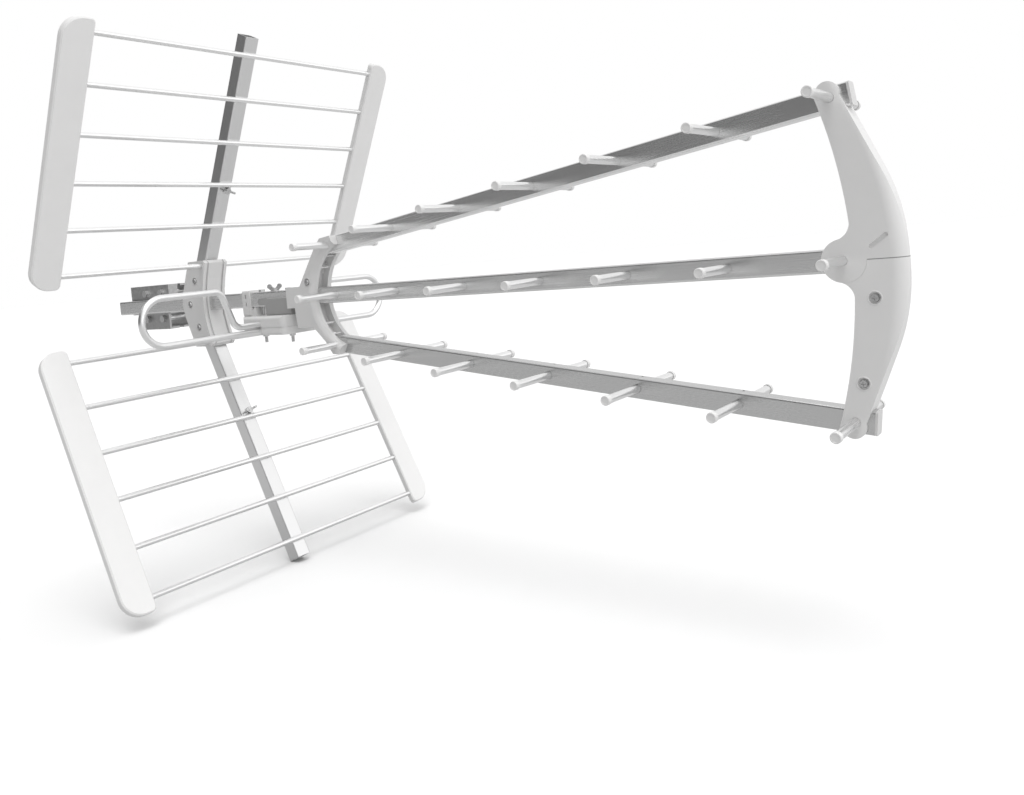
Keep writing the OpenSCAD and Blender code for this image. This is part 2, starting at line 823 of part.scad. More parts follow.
module feed_board() {
    color("darkseagreen") on_boom() difference() {
        union() {
            translate([dipole_x - 31, -board_w / 2, board_z]) cube([62, board_w, board_t]);
            translate([dipole_x + plug_x - 5, -6, plug_z - 5]) cube([10, 12, board_z - plug_z + 5]);
            translate([dipole_x + plug_x, 0, plug_z]) rotate([-90, 0, 0]) {
                cylinder(d = plug_d, h = box_w / 2 + plug_nut + plug_reach);
                translate([0, 0, box_w / 2]) hex_prism(13, plug_nut);
            }
            translate([dipole_x + 4, -6, board_z + board_t]) cube([12, 12, 5]);
        }
        box_bolt_holes();
    }
}

module box_bolts() {
    bottom = box_top - box_h;
    color("dimgray") on_boom() for (side = [-1, 1]) translate([dipole_x + side * box_bolt_x, 0, 0]) {
        translate([0, 0, bottom - 12]) cylinder(d = box_bolt_d, h = boom_h / 2 - bottom + 12 + cut);
        translate([0, 0, boom_h / 2]) hex_prism(8, 3);
        difference() {
            translate([0, 0, bottom - 4]) hex_prism(8, 4);
            translate([0, 0, bottom - 4 - cut]) cylinder(d = box_bolt_d + 2 * fit, h = 4 + 2 * cut);
        }
    }
}

// Mast clamp

module clamp_bolt_holes() {
    for (x = [-1, 1], z = [-1, 1]) translate([x * bolt_x, 0, z * bolt_z])
        bar(clamp_bolt_d + 2 * fit, 4 * boom_y);
}

// The side outline of the clamp plate against the boom
module clamp_outline() {
    translate([-clamp_tail, -12]) square([clamp_tail + clamp_nose, clamp_up + 12]);
    translate([-tail_step, -clamp_down]) square([tail_step + clamp_nose - nose_step, clamp_down]);
}

module mast_bracket() {
    color("gray") difference() {
        union() {
            translate([0, -plate_y - clamp_plate / 2, 0]) across(clamp_plate) clamp_outline();
            translate([-tail_step, -plate_y, clamp_up - clamp_plate])
                cube([tail_step + clamp_nose, plate_y - jaw_lip, clamp_plate]);
            translate([-tail_step, -plate_y, -clamp_down])
                cube([tail_step + clamp_nose - nose_step, plate_y - jaw_lip, clamp_plate]);
            translate([clamp_nose - clamp_plate, -plate_y, -12]) cube([clamp_plate, 12, clamp_up + 12]);
        }
        translate([0, 0, -clamp_down - cut]) cylinder(r = mast_r, h = clamp_up + clamp_down + 2 * cut);
        clamp_bolt_holes();
        on_boom() screw_holes();
    }
}

module mast_jaw() {
    half = bolt_x + 10;
    color("gray") difference() {
        union() {
            translate([-half, plate_y, -clamp_down]) cube([2 * half, clamp_plate, clamp_up + clamp_down]);
            for (z = [-clamp_down, clamp_up - clamp_plate]) translate([-half, jaw_lip, z])
                cube([2 * half, plate_y - jaw_lip, clamp_plate]);
        }
        translate([0, 0, -clamp_down - cut]) cylinder(r = mast_r, h = clamp_up + clamp_down + 2 * cut);
        clamp_bolt_holes();
    }
}

module clamp_bolts() {
    color("silver") for (x = [-1, 1], z = [-1, 1])
        translate([x * bolt_x, -plate_y - clamp_plate, z * bolt_z]) rotate([-90, 0, 0]) {
            cylinder(d = clamp_bolt_d, h = clamp_bolt_len);
            translate([0, 0, -bolt_head_h]) hex_prism(bolt_head_d, bolt_head_h);
        }
}

module clamp_wing_nuts() {
    color("black") for (x = [-1, 1], z = [-1, 1])
        translate([x * bolt_x, plate_y + clamp_plate, z * bolt_z]) rotate([-90, 0, 0]) difference() {
            scale(1.3) wing_head();
            translate([0, 0, -cut]) cylinder(d = clamp_bolt_d + 2 * fit, h = 20);
        }
}

middle_boom();
upper_boom();
lower_boom();
director(1, 1);  // upper_director_1
director(1, 2);  // upper_director_2
director(1, 3);  // upper_director_3
director(1, 4);  // upper_director_4
director(1, 5);  // upper_director_5
director(1, 6);  // upper_director_6
director(1, 7);  // upper_director_7
director(0, 1);  // middle_director_1
director(0, 2);  // middle_director_2
director(0, 3);  // middle_director_3
director(0, 4);  // middle_director_4
director(0, 5);  // middle_director_5
director(0, 6);  // middle_director_6
director(0, 7);  // middle_director_7
director(-1, 1);  // lower_director_1
director(-1, 2);  // lower_director_2
director(-1, 3);  // lower_director_3
director(-1, 4);  // lower_director_4
director(-1, 5);  // lower_director_5
director(-1, 6);  // lower_director_6
director(-1, 7);  // lower_director_7
director_caps();
boom_end_plugs();
rod(1, 1);  // upper_rod_1
rod(1, 2);  // upper_rod_2
rod(1, 3);  // upper_rod_3
rod(1, 4);  // upper_rod_4
rod(1, 5);  // upper_rod_5
rod(1, 6);  // upper_rod_6
rod(-1, 1);  // lower_rod_1
rod(-1, 2);  // lower_rod_2
rod(-1, 3);  // lower_rod_3
rod(-1, 4);  // lower_rod_4
rod(-1, 5);  // lower_rod_5
rod(-1, 6);  // lower_rod_6
strip(1, 1);  // upper_left_strip
strip(1, -1);  // upper_right_strip
strip(-1, 1);  // lower_left_strip
strip(-1, -1);  // lower_right_strip
spine(1);  // upper_spine
spine(-1);  // lower_spine
wing_screws();
reflector_bracket();
arc_bracket();
yoke_upper_arm();
yoke_lower_arm();
moulding_screws();
half_dipole(1);  // left_dipole
half_dipole(-1);  // right_dipole
dipole_housing();
dipole_cover();
feed_board();
box_bolts();
mast_bracket();
mast_jaw();
clamp_bolts();
clamp_wing_nuts();
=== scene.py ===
# %% [markdown]
# # An outdoor television antenna
# The antenna is built of aluminium tubes, moulded plastic and a pressed steel clamp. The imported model
# gives every piece its place and size. This lesson gives each one its finish, adds the fine details
# that are turned or wound, such as rims and threads, and lights the whole as a product picture.

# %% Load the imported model
import math
import bpy
import bmesh
from mathutils import Matrix, Vector


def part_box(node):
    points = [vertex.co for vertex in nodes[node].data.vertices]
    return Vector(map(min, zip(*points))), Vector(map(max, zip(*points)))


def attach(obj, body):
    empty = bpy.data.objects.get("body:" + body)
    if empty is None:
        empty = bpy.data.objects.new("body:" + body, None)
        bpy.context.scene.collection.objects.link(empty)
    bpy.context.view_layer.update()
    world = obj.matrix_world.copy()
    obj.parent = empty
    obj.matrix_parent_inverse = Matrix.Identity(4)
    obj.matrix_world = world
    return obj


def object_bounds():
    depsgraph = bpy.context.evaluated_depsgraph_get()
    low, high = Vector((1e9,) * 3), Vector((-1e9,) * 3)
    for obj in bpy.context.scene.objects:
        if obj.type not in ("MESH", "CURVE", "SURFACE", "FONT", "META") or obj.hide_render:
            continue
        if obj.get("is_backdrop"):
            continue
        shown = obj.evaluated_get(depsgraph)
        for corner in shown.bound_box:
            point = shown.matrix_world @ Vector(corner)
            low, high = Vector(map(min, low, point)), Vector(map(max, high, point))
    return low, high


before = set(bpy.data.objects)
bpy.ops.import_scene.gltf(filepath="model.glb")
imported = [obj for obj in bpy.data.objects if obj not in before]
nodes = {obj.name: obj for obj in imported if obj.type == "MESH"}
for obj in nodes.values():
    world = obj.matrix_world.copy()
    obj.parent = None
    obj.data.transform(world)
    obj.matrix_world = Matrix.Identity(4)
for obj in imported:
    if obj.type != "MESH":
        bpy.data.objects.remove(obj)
cad_low, cad_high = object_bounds()
print("nodes", len(nodes), "size", [round(v, 3) for v in cad_high - cad_low])

# %% [markdown]
# ## The camera
# The picture was taken from in front of the antenna and a little to its right, level with the boom and
# close enough for a strong perspective. Its place and turn were worked out from the straight rows of
# director tubes. A camera matrix is built from three directions: right, up and backwards. A small roll
# leans the picture as the photograph leans.

# %% Camera
PICTURE_WIDTH, PICTURE_HEIGHT = 1024, 795
FOCAL_PIXELS = 883.4
HORIZON_PIXEL = 274.3
SENSOR = 36.0
camera_place = Vector((1.2152, -0.7748, 0.0323))
azimuth, elevation, roll = (math.radians(degrees) for degrees in (36.10, 1.47, -5.30))

backwards = Vector((math.sin(azimuth) * math.cos(elevation),
                    -math.cos(azimuth) * math.cos(elevation),
                    math.sin(elevation)))
level_right = (-backwards).cross(Vector((0, 0, 1))).normalized()
level_up = level_right.cross(-backwards)
right = math.cos(roll) * level_right + math.sin(roll) * level_up
up = -math.sin(roll) * level_right + math.cos(roll) * level_up

camera = bpy.data.objects.new("camera", bpy.data.cameras.new("camera"))
bpy.context.scene.collection.objects.link(camera)
camera.matrix_world = Matrix.Translation(camera_place) @ Matrix((right, up, backwards)).transposed().to_4x4()
camera.data.sensor_width = SENSOR
camera.data.lens = FOCAL_PIXELS * SENSOR / PICTURE_WIDTH
camera.data.shift_y = (HORIZON_PIXEL - PICTURE_HEIGHT / 2) / PICTURE_WIDTH
camera.data.clip_start, camera.data.clip_end = 0.01, 50
bpy.context.scene.camera = camera
print("lens", round(camera.data.lens, 2), "mm, shift", round(camera.data.shift_y, 4))

# %% [markdown]
# ## The floor
# The antenna stands on the ends of its lower strips, on a plain pale floor. One large grid at the lowest
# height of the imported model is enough. It's marked as stage, because it isn't part of the object, and it
# gets its finish at the end, with the light that it has to match.

# %% Floor
FLOOR_SIZE = 60.0
floor_mesh = bmesh.new()
bmesh.ops.create_grid(floor_mesh, x_segments=1, y_segments=1, size=FLOOR_SIZE / 2)
bmesh.ops.translate(floor_mesh, verts=floor_mesh.verts, vec=(0, 0, cad_low.z))
floor_data = bpy.data.meshes.new("floor")
floor_mesh.to_mesh(floor_data)
floor_mesh.free()
floor = bpy.data.objects.new("floor", floor_data)
bpy.context.scene.collection.objects.link(floor)
floor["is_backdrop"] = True
print("floor at", round(cad_low.z, 4))

# %% [markdown]
# ## Sums on sockets
# Procedural finishes are small sums of noises and waves. Writing them as nodes and links is long, so
# one class wraps an output socket and lets Python's own signs add the Math nodes. Colours go through
# Mix nodes instead, because a Math node would turn them grey. A Mix node keeps a set of sockets for
# each kind of value, so the ones for colours are picked by number.

# %% A socket that can be used in sums
MIX_FACTOR, MIX_FIRST, MIX_SECOND, MIX_RESULT = 0, 6, 7, 2


class Signal:
    """An output socket. Signs such as + and * add Math nodes, and node() adds any other node."""

    def __init__(self, socket):
        self.socket = socket

    def node(self, kind, settings, inputs, output=0):
        """Adds a node: its settings first, then its sockets' values or links."""
        made = self.socket.id_data.nodes.new(kind)
        for name, value in settings.items():
            setattr(made, name, value)
        for name, value in inputs.items():
            if isinstance(value, Signal):
                value.feeds(made.inputs[name])
            else:
                made.inputs[name].default_value = value
        return Signal(made.outputs[output])

    def feeds(self, socket):
        """Links this signal to a socket."""
        self.socket.id_data.links.new(self.socket, socket)

    def maths(self, operation, *values):
        return self.node("ShaderNodeMath", {"operation": operation}, dict(enumerate(values)))

    def __add__(self, other):
        return self.maths("ADD", self, other)

    def __radd__(self, other):
        return self.maths("ADD", other, self)

    def __sub__(self, other):
        return self.maths("SUBTRACT", self, other)

    def __rsub__(self, other):
        return self.maths("SUBTRACT", other, self)

    def __mul__(self, other):
        return self.maths("MULTIPLY", self, other)

    def __rmul__(self, other):
        return self.maths("MULTIPLY", other, self)

    def clamped(self):
        """The same value, held between 0 and 1."""
        return self.maths("MAXIMUM", self.maths("MINIMUM", self, 1), 0)

    def blend(self, first, second):
        """A colour that goes from first to second as this signal goes from 0 to 1."""
        return self.node("ShaderNodeMix", {"data_type": "RGBA"}, {
            MIX_FACTOR: self, MIX_FIRST: first, MIX_SECOND: second}, MIX_RESULT)

    def axis(self, letter):
        """One coordinate of a place: X, Y or Z."""
        return self.node("ShaderNodeSeparateXYZ", {}, {"Vector": self}, letter)

    def stretched(self, scale, turn):
        """The same coordinates, turned back by turn and then scaled along each axis."""
        return self.node("ShaderNodeMapping", {"vector_type": "TEXTURE"}, {
            "Vector": self, "Rotation": turn, "Scale": tuple(1 / part for part in scale)})

    def noise(self, scale, detail=2.0, roughness=0.5):
        return self.node("ShaderNodeTexNoise", {}, {
            "Vector": self, "Scale": scale, "Detail": detail, "Roughness": roughness})


print("signs that add Math nodes: + - *")


# %% A new finish and its relief
def grey(level, warmth=0.0):
    """A grey as linear colour, a little warmer or cooler."""
    return (level * (1 + warmth), level, level * (1 - warmth), 1)


def new_finish(name):
    """A new material with its shader and a signal of Object coordinates."""
    material = bpy.data.materials.new(name)
    material.use_nodes = True
    tree = material.node_tree
    shader = tree.nodes["Principled BSDF"]
    place = Signal(tree.nodes.new("ShaderNodeTexCoord").outputs["Object"])
    return material, shader, place


def bump(shader, height, depth):
    """Feeds a height in 0 to 1 to the shader's normal, with the relief's depth in metres."""
    height.node("ShaderNodeBump", {}, {"Height": height, "Distance": depth}).feeds(shader.inputs["Normal"])


print("helpers for every finish: grey, new_finish, bump")

# %% [markdown]
# ## Drawn aluminium
# The booms and spines are aluminium strip, rolled and welded into a box tube, and the rods are drawn
# tubes. Both carry fine lines along their length from the rollers and dies, faint clouding from
# handling, and a soft satin shine. A noise squeezed hard across the tube gives the lines. It drives the
# roughness and a very low bump, because the lines catch light much more than they change the colour.
# The outer booms and the spines slope, so their lines are turned with them. The bent dipole has no one
# direction, so its noise is the same every way.

# %% Aluminium of the booms, spines and rods
LINES_ALONG, LINES_ACROSS, LINES_EVERY_WAY = 5, 1500, 420
LINE_RELIEF = 0.000015


def line_scale(length_axis):
    """How fine the noise is along X, Y and Z, for a tube whose length is along one of them or none."""
    if length_axis is None:
        return (LINES_EVERY_WAY,) * 3
    return tuple(LINES_ALONG if axis == length_axis else LINES_ACROSS for axis in "XYZ")


def aluminium(name, level, roughness, length_axis, turn=(0, 0, 0)):
    material, shader, place = new_finish(name)
    lines = place.stretched(line_scale(length_axis), turn).noise(1.0, detail=3.0, roughness=0.6)
    clouds = place.noise(7.0, detail=3.0)
    specks = place.noise(260.0, detail=1.0)
    shade = (clouds * 0.55 + lines * 0.45).clamped()
    shade.blend(grey(level * 0.90), grey(level * 1.06)).feeds(shader.inputs["Base Color"])
    (roughness - 0.05 + lines * 0.07 + clouds * 0.08).feeds(shader.inputs["Roughness"])
    shader.inputs["Metallic"].default_value = 1.0
    shader.inputs["Anisotropic"].default_value = 0.35
    bump(shader, lines * 0.7 + specks * 0.3, LINE_RELIEF)
    return material


BOOM_SLOPE = math.radians(6.8)
PANEL_LEAN = math.radians(25.7)
finishes = {
    # The booms are one aluminium. Their greys differ as painted light and shade: the upper boom's is painted
    # lighter and the lower boom's darker, as the light falls on them.
    "middle_boom": aluminium("middle_boom_aluminium", 0.72, 0.24, "X"),
    "upper_boom": aluminium("upper_boom_aluminium_painted_lighter", 0.84, 0.24, "X", (0, -BOOM_SLOPE, 0)),
    "lower_boom": aluminium("lower_boom_aluminium_painted_darker", 0.60, 0.24, "X", (0, BOOM_SLOPE, 0)),
    "upper_spine": aluminium("upper_spine_aluminium", 0.76, 0.30, "Z", (0, PANEL_LEAN, 0)),
    "lower_spine": aluminium("lower_spine_aluminium", 0.76, 0.30, "Z", (0, -PANEL_LEAN, 0)),
    "rods": aluminium("rod_aluminium", 0.88, 0.26, "Y"),
    "bent_rods": aluminium("bent_rod_aluminium", 0.86, 0.27, None),
}
print("aluminium finishes", len(finishes))

# %% [markdown]
# ## Moulded plastic
# The strips, the yoke, the brackets, the caps and the dipole's box are injection moulded in plastic that
# stands years of sun. The mould's skin leaves a fine even grain, and the plastic shrinks into very soft
# waves as it cools. A fine noise and a large one give these two scales of relief, and a third one is the
# dust that dulls the skin. Where the two halves of the yoke meet, a thin dark line is painted into the
# yoke's colour: a painted shadow where shade falls in the joint. It lies flat in the joint, so it's drawn
# by the yoke's finish and not by its shape.

# %% Plastic
PLASTIC_WARMTH = 0.004
GRAIN_RELIEF = 0.00003
JOINT_FROM_X, JOINT_HEIGHT, JOINT_HALF = 1.0292, 0.0, 0.0004


def painted_joint_shadow(place):
    """1 on the thin line where the halves of the yoke meet, where a shadow is painted, and 0 elsewhere."""
    off = place.axis("Z") - JOINT_HEIGHT
    near = off.maths("LESS_THAN", off.maths("ABSOLUTE", off), JOINT_HALF)
    return near * place.maths("GREATER_THAN", place.axis("X"), JOINT_FROM_X)


def plastic(name, level, roughness=0.42, has_painted_joint_shadow=False):
    material, shader, place = new_finish(name)
    grain = place.noise(900.0)
    waves = place.noise(22.0)
    dust = place.noise(70.0, detail=5.0, roughness=0.65)
    shade = (waves * 0.5 + dust * 0.5).clamped()
    colour = shade.blend(grey(level * 0.955, PLASTIC_WARMTH), grey(level * 1.02, PLASTIC_WARMTH))
    if has_painted_joint_shadow:
        # Painted shadow: the joint's thin line is darkened in the colour, standing in for shade in the
        # joint.
        colour = painted_joint_shadow(place).blend(colour, grey(level * 0.35, PLASTIC_WARMTH))
    colour.feeds(shader.inputs["Base Color"])
    (roughness - 0.06 + dust * 0.12).feeds(shader.inputs["Roughness"])
    shader.inputs["IOR"].default_value = 1.5
    bump(shader, grain * 0.6 + waves * 0.4, GRAIN_RELIEF)
    return material


finishes["white"] = plastic("white_plastic", 0.83)
finishes["yoke"] = plastic("yoke_plastic", 0.80, has_painted_joint_shadow=True)
finishes["light_grey"] = plastic("light_grey_plastic", 0.70, 0.38)
finishes["mid_grey"] = plastic("mid_grey_plastic", 0.36, 0.40)
finishes["black"] = plastic("black_plastic", 0.035, 0.35)
print("finishes with the plastics", len(finishes))

# %% [markdown]
# ## Zinc and galvanised steel
# Screws and bolts are zinc plated, which is bright with a faint cloudy bloom. The clamp's pressed plates
# are galvanised: zinc crystals cover them in pale and dark patches with straight edges. A Voronoi
# pattern has just such cells, and each cell's own value sets its shade and shine.

# %% Steel
BLOOM_SCALE, CRYSTAL_SCALE = 240.0, 260.0
BLOOM_RELIEF, CRYSTAL_RELIEF = 0.00003, 0.00004


def bloom_on(place):
    """The cloudy bloom of plated metal."""
    return place.noise(BLOOM_SCALE, detail=3.0, roughness=0.6)


def zinc_plate(name, level):
    material, shader, place = new_finish(name)
    bloom = bloom_on(place)
    stains = place.noise(60.0, detail=4.0)
    shade = (bloom * 0.6 + stains * 0.4).clamped()
    shade.blend(grey(level * 0.82), grey(level * 1.1)).feeds(shader.inputs["Base Color"])
    (0.24 + bloom * 0.16).feeds(shader.inputs["Roughness"])
    shader.inputs["Metallic"].default_value = 1.0
    bump(shader, bloom, BLOOM_RELIEF)
    return material


def galvanised(name, level):
    material, shader, place = new_finish(name)
    cells = place.node("ShaderNodeTexVoronoi", {"feature": "F1"}, {
        "Vector": place, "Scale": CRYSTAL_SCALE}, "Color")
    crystal = cells.node("ShaderNodeSeparateColor", {}, {"Color": cells})
    frost = place.noise(500.0, detail=3.0)
    shade = (crystal * 0.6 + frost * 0.4).clamped()
    shade.blend(grey(level * 0.80), grey(level * 1.18)).feeds(shader.inputs["Base Color"])
    (0.30 + crystal * 0.18).feeds(shader.inputs["Roughness"])
    shader.inputs["Metallic"].default_value = 1.0
    bump(shader, crystal * 0.5 + frost * 0.5, CRYSTAL_RELIEF)
    return material


finishes["zinc"] = zinc_plate("zinc_plate", 0.62)
finishes["galvanised"] = galvanised("galvanised_steel", 0.46)
print("finishes with the steels", len(finishes))

# %% [markdown]
# ## The circuit board and its connector
# The board is glass fibre under green lacquer. A crossing weave is faintly seen through the lacquer. The
# coaxial connector is soldered under it in the same node, so the finish turns to bright plated metal
# just below the board. The tallest piece on the board gives the node its top, so the board's underside
# is a known step below that.

# %% Circuit board
TOP_TO_UNDERSIDE, JUST_BELOW = 0.0066, 0.0001
WEAVE_SCALE, WEAVE_RELIEF = 400.0, 0.00002
DARK_LACQUER, PALE_LACQUER = (0.02, 0.09, 0.04, 1), (0.05, 0.16, 0.08, 1)


def lacquered_board(name, underside):
    material, shader, place = new_finish(name)
    warp, weft = (place.node("ShaderNodeTexWave", {"bands_direction": way}, {
        "Vector": place, "Scale": WEAVE_SCALE}) for way in "XY")
    weave = warp * weft
    bloom = bloom_on(place)
    metal = place.maths("LESS_THAN", place.axis("Z"), underside)
    lacquer = weave.blend(DARK_LACQUER, PALE_LACQUER)
    plate = bloom.blend(grey(0.52), grey(0.70))
    metal.blend(lacquer, plate).feeds(shader.inputs["Base Color"])
    (0.22 + weave * 0.12 * (1 - metal) + bloom * 0.14 * metal).feeds(shader.inputs["Roughness"])
    metal.feeds(shader.inputs["Metallic"])
    bump(shader, weave * (1 - metal) + bloom * metal, WEAVE_RELIEF)
    return material


metal_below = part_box("feed_board")[1].z - TOP_TO_UNDERSIDE - JUST_BELOW
finishes["board"] = lacquered_board("circuit_board", metal_below)
print("bright metal below", round(metal_below, 4))

# %% [markdown]
# ## Giving each node its finish
# A node keeps its mesh. Only the material in its slots is exchanged. All directors and rods share one
# finish, the other metal and the moulded pieces are listed by name, and the four strips that are left
# are white plastic.

# %% Assign the finishes
FINISH_OF = {
    "middle_boom": "middle_boom", "upper_boom": "upper_boom", "lower_boom": "lower_boom",
    "upper_spine": "upper_spine", "lower_spine": "lower_spine",
    "left_dipole": "bent_rods", "right_dipole": "bent_rods",
    "boom_end_plugs": "light_grey", "director_caps": "white", "dipole_housing": "mid_grey",
    "dipole_cover": "light_grey", "arc_bracket": "light_grey", "reflector_bracket": "light_grey",
    "mast_bracket": "galvanised", "mast_jaw": "galvanised", "clamp_wing_nuts": "black",
    "clamp_bolts": "zinc", "box_bolts": "zinc", "wing_screws": "zinc", "moulding_screws": "zinc",
    "feed_board": "board", "yoke_upper_arm": "yoke", "yoke_lower_arm": "yoke",
}


def finish_name(node):
    if node in FINISH_OF:
        return FINISH_OF[node]
    if "director" in node or "rod" in node:
        return "rods"
    return "white"


for node, piece in nodes.items():
    piece.data.materials.clear()
    piece.data.materials.append(finishes[finish_name(node)])
print("nodes with a finish", len(nodes))

# %% [markdown]
# ## Small turned pieces
# Rims, insulation and contacts are turned shapes: a small outline in radius and height, spun a full turn
# about its axis. One helper spins the outline at the origin, and another sets the result on its place in
# the model, facing the right way. All rims of one kind share one object, which rides on the antenna.

# %% Helpers for turned and wound pieces
MM = 0.001
SHARP_ANGLE = math.radians(40)


def settle(mesh, before, place, towards):
    """Moves what was made since vertex number before from the origin to its place."""
    mesh.verts.ensure_lookup_table()
    turn = Vector(towards).to_track_quat("Z", "X").to_matrix().to_4x4()
    bmesh.ops.transform(mesh, matrix=Matrix.Translation(place) @ turn, verts=mesh.verts[before:])


def turned(mesh, outline, place, towards, steps):
    """Spins a closed outline of (radius, height) in millimetres about the Z axis, then settles it."""
    before = len(mesh.verts)
    points = [mesh.verts.new((radius * MM, 0, height * MM)) for radius, height in outline]
    edges = [mesh.edges.new((points[i - 1], points[i])) for i in range(len(points))]
    bmesh.ops.spin(mesh, geom=points + edges, cent=(0, 0, 0), axis=(0, 0, 1),
                   angle=math.tau, steps=steps, use_merge=True)
    settle(mesh, before, place, towards)


def finished_piece(name, mesh, finish):
    """Turns the faces outwards, makes an object that rides on the antenna and gives it its finish."""
    bmesh.ops.recalc_face_normals(mesh, faces=mesh.faces)
    for face in mesh.faces:
        face.smooth = True
    data = bpy.data.meshes.new(name)
    mesh.to_mesh(data)
    mesh.free()
    data.set_sharp_from_angle(angle=SHARP_ANGLE)
    piece = bpy.data.objects.new(name, data)
    bpy.context.scene.collection.objects.link(piece)
    data.materials.append(finishes[finish])
    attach(piece, "root")
    print(name, "faces", len(data.polygons))


print("edges stay sharp from", round(math.degrees(SHARP_ANGLE)), "degrees")

# %% [markdown]
# ## Rims of the end caps
# Each director ends in a moulded push-on cap. Its face is a shallow dish with a raised rim, which is how
# such caps are made so that they can be pressed home. The rim could be inset and extruded from a disc,
# but one small outline spun about the tube is shorter and comes out closed.

# %% Rims of the end caps
CAP_RIM = [(3.3, -0.2), (4.35, -0.2), (4.35, 0.2), (4.1, 0.4), (3.6, 0.4), (3.3, 0.15)]
caps_low, caps_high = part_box("director_caps")
rims = bmesh.new()
for node in nodes:
    if "director_" in node and node != "director_caps":
        low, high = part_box(node)
        middle = (low + high) / 2
        for y, side in ((caps_low.y, -1), (caps_high.y, 1)):
            turned(rims, CAP_RIM, (middle.x, y, middle.z), (0, side, 0), steps=20)
finished_piece("cap_rims", rims, "white")

# %% [markdown]
# ## Rims round the sunk screws
# The screws of the mouldings sit in round recesses, and the mould raises a low lip round each of them
# that takes the pressure of the driver. It's the same turned shape on the reflector bracket, the arc
# bracket and the yoke. The places are in millimetres along the antenna and up, and both brackets are
# equally thick, so one near face does for their four screws.

# %% Rims round the sunk screws
SCREW_RIM = [(4.85, -0.3), (5.9, -0.3), (5.85, 0.2), (5.55, 0.45), (5.15, 0.45), (4.85, 0.2)]
BRACKET_SCREWS = [(142, 32), (142, -32), (127, 0), (372, 18)]
YOKE_SCREWS = [(1033, -31), (1019, -100)]


def screw_rims(name, moulding, screws, finish):
    lips = bmesh.new()
    near_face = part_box(moulding)[0].y
    for x, z in screws:
        turned(lips, SCREW_RIM, (x * MM, near_face, z * MM), (0, -1, 0), steps=32)
    finished_piece(name, lips, finish)


screw_rims("bracket_screw_rims", "reflector_bracket", BRACKET_SCREWS, "light_grey")
screw_rims("yoke_screw_rims", "yoke_upper_arm", YOKE_SCREWS, "yoke")

# %% [markdown]
# ## Threads
# Bolts show their thread wherever they stand free. A thread is a three sided ridge wound round the
# shank. The spin operator winds it when each of its steps also moves a little along the axis, and the
# two open ends are then filled. The ridge is a little narrower than the pitch, so that the turns stay
# apart and the root shows between them. Its foot is sunk a little into the shank.

# %% Winding a thread
RIDGE_SUNK = 0.05
RIDGE_HALF_OF_PITCH = 0.45
CLEAR_OF_END = 0.5


def thread(mesh, place, towards, shank, pitch, length, proud=0.2, steps=14):
    """Winds a ridge round a shank's radius for a length, all in millimetres but the place."""
    before = len(mesh.verts)
    half = RIDGE_HALF_OF_PITCH * pitch * MM
    root, crest = (shank - RIDGE_SUNK) * MM, (shank + proud) * MM
    corners = [mesh.verts.new(corner) for corner in ((root, 0, -half), (crest, 0, 0), (root, 0, half))]
    sides = [mesh.edges.new((corners[i - 1], corners[i])) for i in range(3)]
    total = round(steps * length / pitch)
    bmesh.ops.spin(mesh, geom=corners + sides, cent=(0, 0, 0), axis=(0, 0, 1),
                   dvec=(0, 0, length * MM / total), angle=math.tau * length / pitch, steps=total)
    bmesh.ops.holes_fill(mesh, edges=[edge for edge in mesh.edges if edge.is_boundary], sides=3)
    settle(mesh, before, place, towards)


print("a thread's ridge fills", 2 * RIDGE_HALF_OF_PITCH, "of its pitch")

# %% Threads of the clamp bolts
CLAMP_BOLTS_X, CLAMP_BOLTS_Z = 20.0, 19.5
CLAMP_SHANK, CLAMP_PITCH = 3.0, 1.0
FREE_STRETCHES = [(-4.0, 20.5), (26.3, 10.6)]
clamp_threads = bmesh.new()
for x in (-CLAMP_BOLTS_X, CLAMP_BOLTS_X):
    for z in (-CLAMP_BOLTS_Z, CLAMP_BOLTS_Z):
        for start, length in FREE_STRETCHES:
            thread(clamp_threads, (x * MM, start * MM, z * MM), (0, 1, 0), CLAMP_SHANK, CLAMP_PITCH, length)
finished_piece("clamp_bolt_threads", clamp_threads, "zinc")

# %% Threads of the box bolts
BOX_BOLTS_X = (261.5, 314.5)
BOX_SHANK, BOX_PITCH, BOX_THREAD_LENGTH = 2.0, 0.7, 6.6
bolts_low, bolts_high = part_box("box_bolts")
box_threads = bmesh.new()
for x in BOX_BOLTS_X:
    thread(box_threads, (x * MM, (bolts_low.y + bolts_high.y) / 2, bolts_low.z + CLEAR_OF_END * MM),
           (0, 0, 1), BOX_SHANK, BOX_PITCH, BOX_THREAD_LENGTH, proud=0.16)
finished_piece("box_bolt_threads", box_threads, "zinc")

# %% [markdown]
# ## The coaxial connector
# The aerial lead screws on to a threaded socket at the back of the dipole box. Its face has a ring of
# white insulation round a small spring contact. The thread is wound, and the other two are turned.

# %% Connector
SOCKET_X, SOCKET_Z, SOCKET_NUT = 0.274, -0.036, 0.005
SOCKET_SHANK, SOCKET_PITCH = 4.7, 0.8
socket_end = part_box("feed_board")[1].y
socket_face = (SOCKET_X, socket_end, SOCKET_Z)
socket_thread = bmesh.new()
thread(socket_thread, (SOCKET_X, SOCKET_NUT + CLEAR_OF_END * MM, SOCKET_Z), (0, 1, 0),
       SOCKET_SHANK, SOCKET_PITCH, (socket_end - SOCKET_NUT) / MM - 2 * CLEAR_OF_END, steps=20)
finished_piece("connector_thread", socket_thread, "zinc")

INSULATION = [(0.8, -0.2), (3.4, -0.2), (3.4, 0.25), (3.2, 0.4), (1.0, 0.4), (0.8, 0.2)]
insulation = bmesh.new()
turned(insulation, INSULATION, socket_face, (0, 1, 0), steps=32)
finished_piece("connector_insulation", insulation, "white")

CONTACT = [(0.35, -0.2), (0.75, -0.2), (0.75, 0.5), (0.6, 0.6), (0.35, 0.45)]
contact = bmesh.new()
turned(contact, CONTACT, socket_face, (0, 1, 0), steps=20)
finished_piece("connector_contact", contact, "zinc")

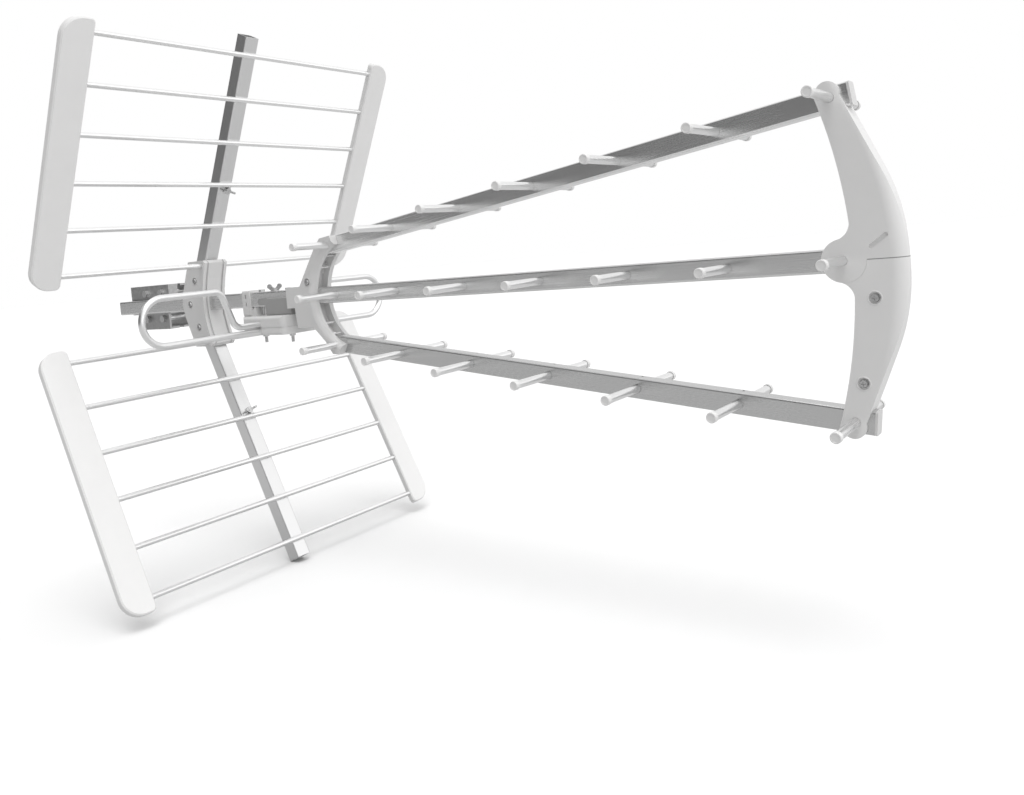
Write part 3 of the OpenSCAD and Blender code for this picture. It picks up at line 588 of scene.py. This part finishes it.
# %% [markdown]
# ## The studio
# Pale plastic on a white ground only keeps its shape if the room isn't white all round. Here the sky is
# white where the camera looks at it, but what lights the antenna is a tent: pale all round, brighter
# overhead and brightest in front, with one wide dark flag to the near left. The flag is what the sides
# of the booms reflect, so they turn mid grey, and it keeps the near faces of the mouldings a little
# darker than their fronts. Each of the three is a soft round lobe of the sky. A Light Path node tells
# the camera's own rays from the rest.

# %% Sky
TENT_LEVEL = 0.85
FLAG_TOWARDS, FLAG_FADE, FLAG_FULL, FLAG_LEVEL = Vector((-0.62, -0.78, -0.05)), 0.10, 0.74, 0.15
FRONT_TOWARDS, FRONT_FADE, FRONT_FULL, FRONT_LEVEL = Vector((1.0, 0.20, 0.05)), 0.45, 0.95, 1.42
TOP_TOWARDS, TOP_FADE, TOP_FULL, TOP_LEVEL, TOP_SHARE = Vector((0, 0, 1)), 0.2, 0.9, 1.6, 0.26

world = bpy.data.worlds.new("studio")
bpy.context.scene.world = world
world.use_nodes = True
sky_nodes = world.node_tree.nodes
background = sky_nodes["Background"]
direction = Signal(sky_nodes.new("ShaderNodeTexCoord").outputs["Generated"])
camera_ray = Signal(sky_nodes.new("ShaderNodeLightPath").outputs["Is Camera Ray"])


def lobe(towards, fade, full):
    """1 where a direction points towards a place in the sky, and 0 far from it."""
    facing = direction.node("ShaderNodeVectorMath", {"operation": "DOT_PRODUCT"}, {
        0: direction, 1: towards.normalized()}, "Value")
    return facing.node("ShaderNodeMapRange", {"interpolation_type": "SMOOTHERSTEP"}, {
        "Value": facing, "From Min": fade, "From Max": full})


flag = lobe(FLAG_TOWARDS, FLAG_FADE, FLAG_FULL)
overhead = lobe(TOP_TOWARDS, TOP_FADE, TOP_FULL)
front = lobe(FRONT_TOWARDS, FRONT_FADE, FRONT_FULL)
tent = front.blend(flag.blend(grey(TENT_LEVEL), grey(FLAG_LEVEL)), grey(FRONT_LEVEL))
tent = (overhead * TOP_SHARE).blend(tent, grey(TOP_LEVEL))
camera_ray.blend(tent, grey(1.0)).feeds(background.inputs["Color"])
background.inputs["Strength"].default_value = 1.0
print("sky levels: tent", TENT_LEVEL, "flag", FLAG_LEVEL, "front", FRONT_LEVEL)

# %% [markdown]
# ## The sun
# A tent alone leaves almost no shadow, and the antenna would seem to float. A sun lamp can be given any
# width, and a very wide one from nearly overhead lays a soft shadow under the antenna. The Standard
# view shows the greys as they were chosen.

# %% Sun
SUN_FROM = Vector((0.20, -0.25, 1.0))
SUN_STRENGTH, SUN_WIDTH = 0.95, 35
sun = bpy.data.objects.new("wide_sun", bpy.data.lights.new("wide_sun", "SUN"))
bpy.context.scene.collection.objects.link(sun)
sun.data.energy = SUN_STRENGTH
sun.data.angle = math.radians(SUN_WIDTH)
sun.rotation_euler = (-SUN_FROM).to_track_quat("-Z", "Y").to_euler()
bpy.context.scene.view_settings.view_transform = "Standard"
print("sun", SUN_WIDTH, "degrees wide")

# %% [markdown]
# ## The floor's finish
# The floor is matt pale board, with the faintest clouding. It's pale where the camera sees it, and
# greyer to the light that it sends back up, so that the undersides of the rods keep their darker line.
# It has no gloss, because a glossy floor mirrors the tent near the horizon and shows where it ends.

# %% Floor finish
FLOOR_PALE, FLOOR_PALEST, FLOOR_BOUNCE = 0.90, 0.92, 0.56
floor_finish, floor_shader, floor_place = new_finish("pale_floor")
floor_camera_ray = Signal(floor_finish.node_tree.nodes.new("ShaderNodeLightPath").outputs["Is Camera Ray"])
pale = floor_place.noise(3.0).blend(grey(FLOOR_PALE), grey(FLOOR_PALEST))
floor_camera_ray.blend(grey(FLOOR_BOUNCE), pale).feeds(floor_shader.inputs["Base Color"])
floor_shader.inputs["Roughness"].default_value = 0.60
floor_shader.inputs["Specular IOR Level"].default_value = 0.0
floor.data.materials.append(floor_finish)
print("floor seen at", FLOOR_PALE, "to", FLOOR_PALEST, "and sends back", FLOOR_BOUNCE)

# %% [markdown]
# ## Measuring and finishing
# The small pieces must not make the antenna any bigger, so the growth of the dressed model's box over the
# imported model's box is printed.

low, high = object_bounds()
print("grown by", [round(v, 4) for v in (high - low) - (cad_high - cad_low)])
